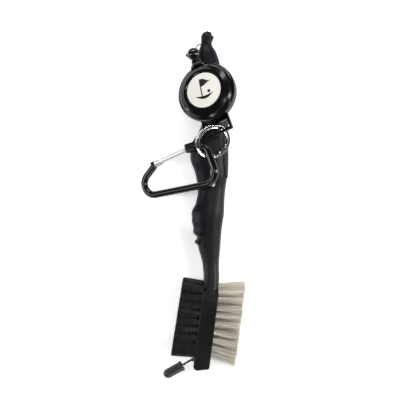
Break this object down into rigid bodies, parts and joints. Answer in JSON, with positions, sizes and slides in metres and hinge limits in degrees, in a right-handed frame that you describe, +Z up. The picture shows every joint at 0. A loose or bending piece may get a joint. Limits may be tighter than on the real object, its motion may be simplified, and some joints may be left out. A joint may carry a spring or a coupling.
{
  "type": "club groove brush",
  "caption": "Two-sided golf club groove brush with nylon and wire bristles, a capped groove spike, a soft grip, and a retractable line reel with a split ring and snap hook.",
  "frame": {"origin": "on the plane that the brush lies on, under the middle of its head", "axes": "+Y along the handle from the head to the tail, +X towards the wire bristles, +Z up from the plane the brush lies on"},
  "size_m": [0.0595, 0.1988, 0.0334],
  "materials": {
    "nylon_bristle": "glossy",
    "wire_bristle": "bright drawn wire",
    "steel_small": "plain",
    "spike_steel": "polished",
    "cap_rubber": "satin",
    "reel_plastic": "glossy",
    "label_print": "printed, slightly domed",
    "nozzle_plastic": "glossy",
    "inner_plastic": "moulded",
    "line_fibre": "braided",
    "tether_fibre": "twisted",
    "grip_rubber": "satin",
    "core_plastic": "finely stippled",
    "ring_nickel": "nickel plated",
    "hook_black": "glossy",
    "gate_silver": "satin"
  },
  "bodies": {
    "brush": {"handle_core": "core_plastic", "soft_grip": "grip_rubber", "nylon_tufts": "nylon_bristle", "wire_tufts": "wire_bristle", "nylon_staples": "steel_small", "wire_staples": "steel_small", "groove_spike": "spike_steel", "tether_cord": "tether_fibre", "stopper_ball": "reel_plastic", "ferrule": "ring_nickel"},
    "cap": {"spike_cap": "cap_rubber"},
    "reel": {"rear_shell": "reel_plastic", "front_shell": "reel_plastic", "label": "label_print", "cord_nozzle": "nozzle_plastic", "axle_post": "inner_plastic", "spiral_spring": "steel_small", "line_run": "line_fibre"},
    "spool": {"spool": "inner_plastic", "spring_cover": "inner_plastic", "wound_line": "line_fibre"},
    "ring": {"split_ring": "ring_nickel"},
    "hook": {"hook_frame": "hook_black", "gate_rivet": "hook_black"},
    "gate": {"gate": "gate_silver", "nose_pin": "steel_small", "gate_spring": "steel_small"}
  },
  "joints": [
    {"name": "cap_pull", "type": "slide", "parent": "brush", "child": "cap", "axis": [-0.8746, -0.4848, 0], "range_m": [0, 0.014]},
    {"name": "reel_pull", "type": "slide", "parent": "brush", "child": "reel", "axis": [0.3071, -0.9075, 0.2866], "range_m": [0, 0.6], "stiffness_N_per_m": 1.5, "springref_m": -0.3, "deforming": ["line_run"]},
    {"name": "spool_spin", "type": "hinge", "parent": "reel", "child": "spool", "pos_m": [0.0002, 0.1313, 0.0242], "axis": [-0.3794, 0.1595, 0.9114], "range_deg": [0, 3720], "deforming": ["spiral_spring"]},
    {"name": "ring_swing", "type": "hinge", "parent": "reel", "child": "ring", "pos_m": [0.00703, 0.11695, 0.02481], "axis": [-0.6944, 0.6435, 0.3221], "range_deg": [0, 50]},
    {"name": "hook_swing", "type": "hinge", "parent": "ring", "child": "hook", "pos_m": [-0.00025, 0.10021, 0.0228], "axis": [-0.6422, 0.6937, -0.3261], "range_deg": [0, 28]},
    {"name": "gate_hinge", "type": "hinge", "parent": "hook", "child": "gate", "pos_m": [-0.00922, 0.10077, 0.01822], "axis": [-0.4554, -0.0031, 0.8903], "range_deg": [0, 25], "stiffness_Nm_per_rad": 0.02, "springref_deg": -22.92}
  ],
  "couplings": [
    {"joint": "spool_spin", "follows": "reel_pull", "rad_per_m": 107.5}
  ]
}
